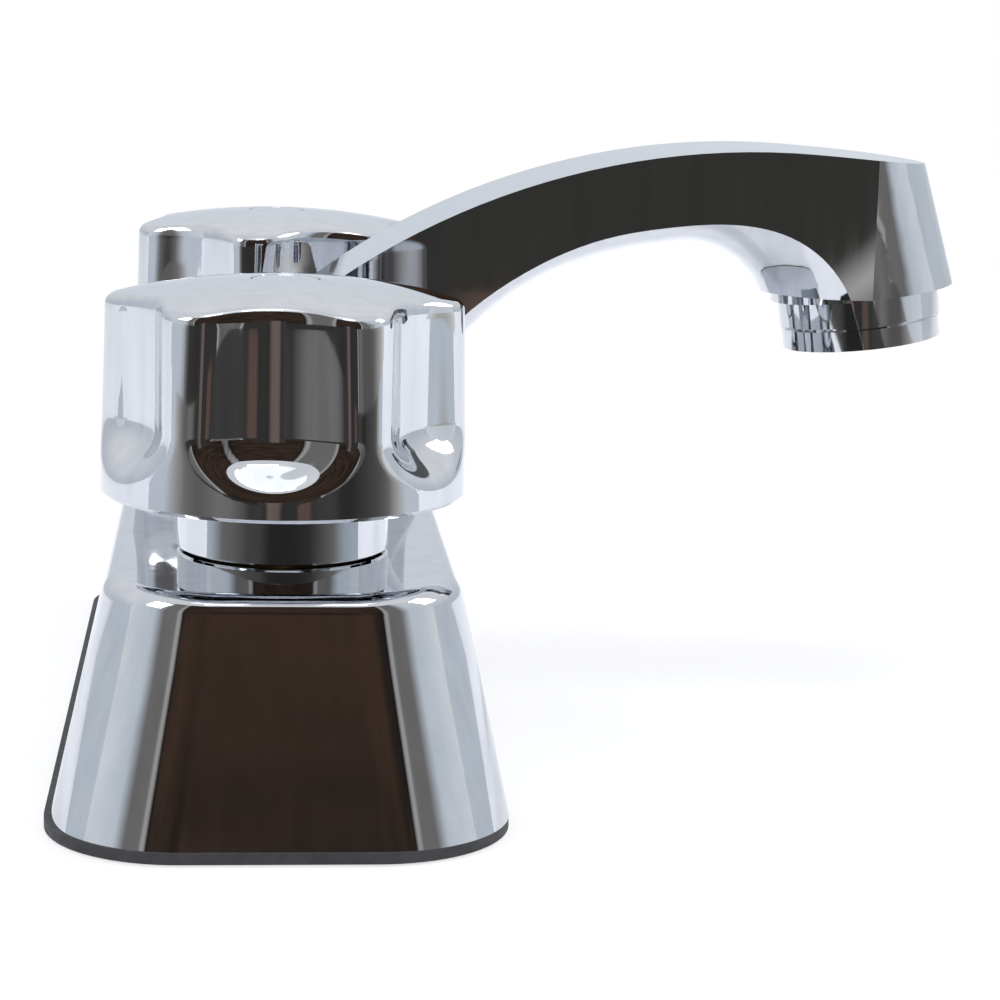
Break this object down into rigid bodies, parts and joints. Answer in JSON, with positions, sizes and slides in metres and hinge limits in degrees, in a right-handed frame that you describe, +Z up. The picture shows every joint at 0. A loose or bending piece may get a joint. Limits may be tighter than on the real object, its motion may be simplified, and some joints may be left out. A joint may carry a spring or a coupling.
{
  "type": "bathroom sink mixer",
  "caption": "Centreset deck-mounted chrome sink mixer with fluted hot and cold knobs on a tapered base and a low arched swivel spout.",
  "frame": {"origin": "middle of the gasket's underside, midway between the two shanks, on the sink deck's plane", "axes": "+Z up, +X from the spout's hub towards its outlet, Y along the line of the two valves, hot at -Y"},
  "size_m": [0.13, 0.1562, 0.1323],
  "materials": {
    "chrome": "polished chrome plate",
    "brass": "machined brass",
    "steel": "plain steel",
    "rubber": "matt dark grey rubber",
    "plastic": "moulded plastic",
    "ceramic": "lapped ceramic"
  },
  "bodies": {
    "base": {"base_gasket": "rubber", "base_cover": "chrome", "hot_valve_body": "brass", "hot_cross_tube": "brass", "hot_collar": "chrome", "hot_cartridge": "brass", "hot_cartridge_ring": "rubber", "hot_seat_seal": "rubber", "hot_fixed_disc": "ceramic", "hot_washer": "steel", "hot_lock_nut": "plastic", "cold_valve_body": "brass", "cold_cross_tube": "brass", "cold_collar": "chrome", "cold_cartridge": "brass", "cold_cartridge_ring": "rubber", "cold_seat_seal": "rubber", "cold_fixed_disc": "ceramic", "cold_washer": "steel", "cold_lock_nut": "plastic", "spout_socket": "brass", "spout_nut": "brass", "spout_glide_ring": "plastic", "spout_o_rings": "rubber"},
    "hot_handle": {"hot_knob": "chrome", "hot_spindle": "brass", "hot_moving_disc": "ceramic", "hot_spindle_clip": "steel", "hot_knob_screw": "steel", "hot_index": "chrome"},
    "cold_handle": {"cold_knob": "chrome", "cold_spindle": "brass", "cold_moving_disc": "ceramic", "cold_spindle_clip": "steel", "cold_knob_screw": "steel", "cold_index": "chrome"},
    "spout_arm": {"spout": "chrome", "spout_set_screw": "steel", "aerator_housing": "chrome", "aerator_insert": "plastic", "aerator_screen": "steel", "aerator_washer": "rubber"}
  },
  "joints": [
    {"name": "spout_swivel", "type": "hinge", "parent": "base", "child": "spout_arm", "pos_m": [0, 0, 0.04], "axis": [0, 0, 1], "range_deg": [-40, 40]},
    {"name": "hot_knob_turn", "type": "hinge", "parent": "base", "child": "hot_handle", "pos_m": [0, -0.0508, 0.04], "axis": [0, 0, 1], "range_deg": [0, 90]},
    {"name": "cold_knob_turn", "type": "hinge", "parent": "base", "child": "cold_handle", "pos_m": [0, 0.0508, 0.04], "axis": [0, 0, 1], "range_deg": [-90, 0]}
  ]
}
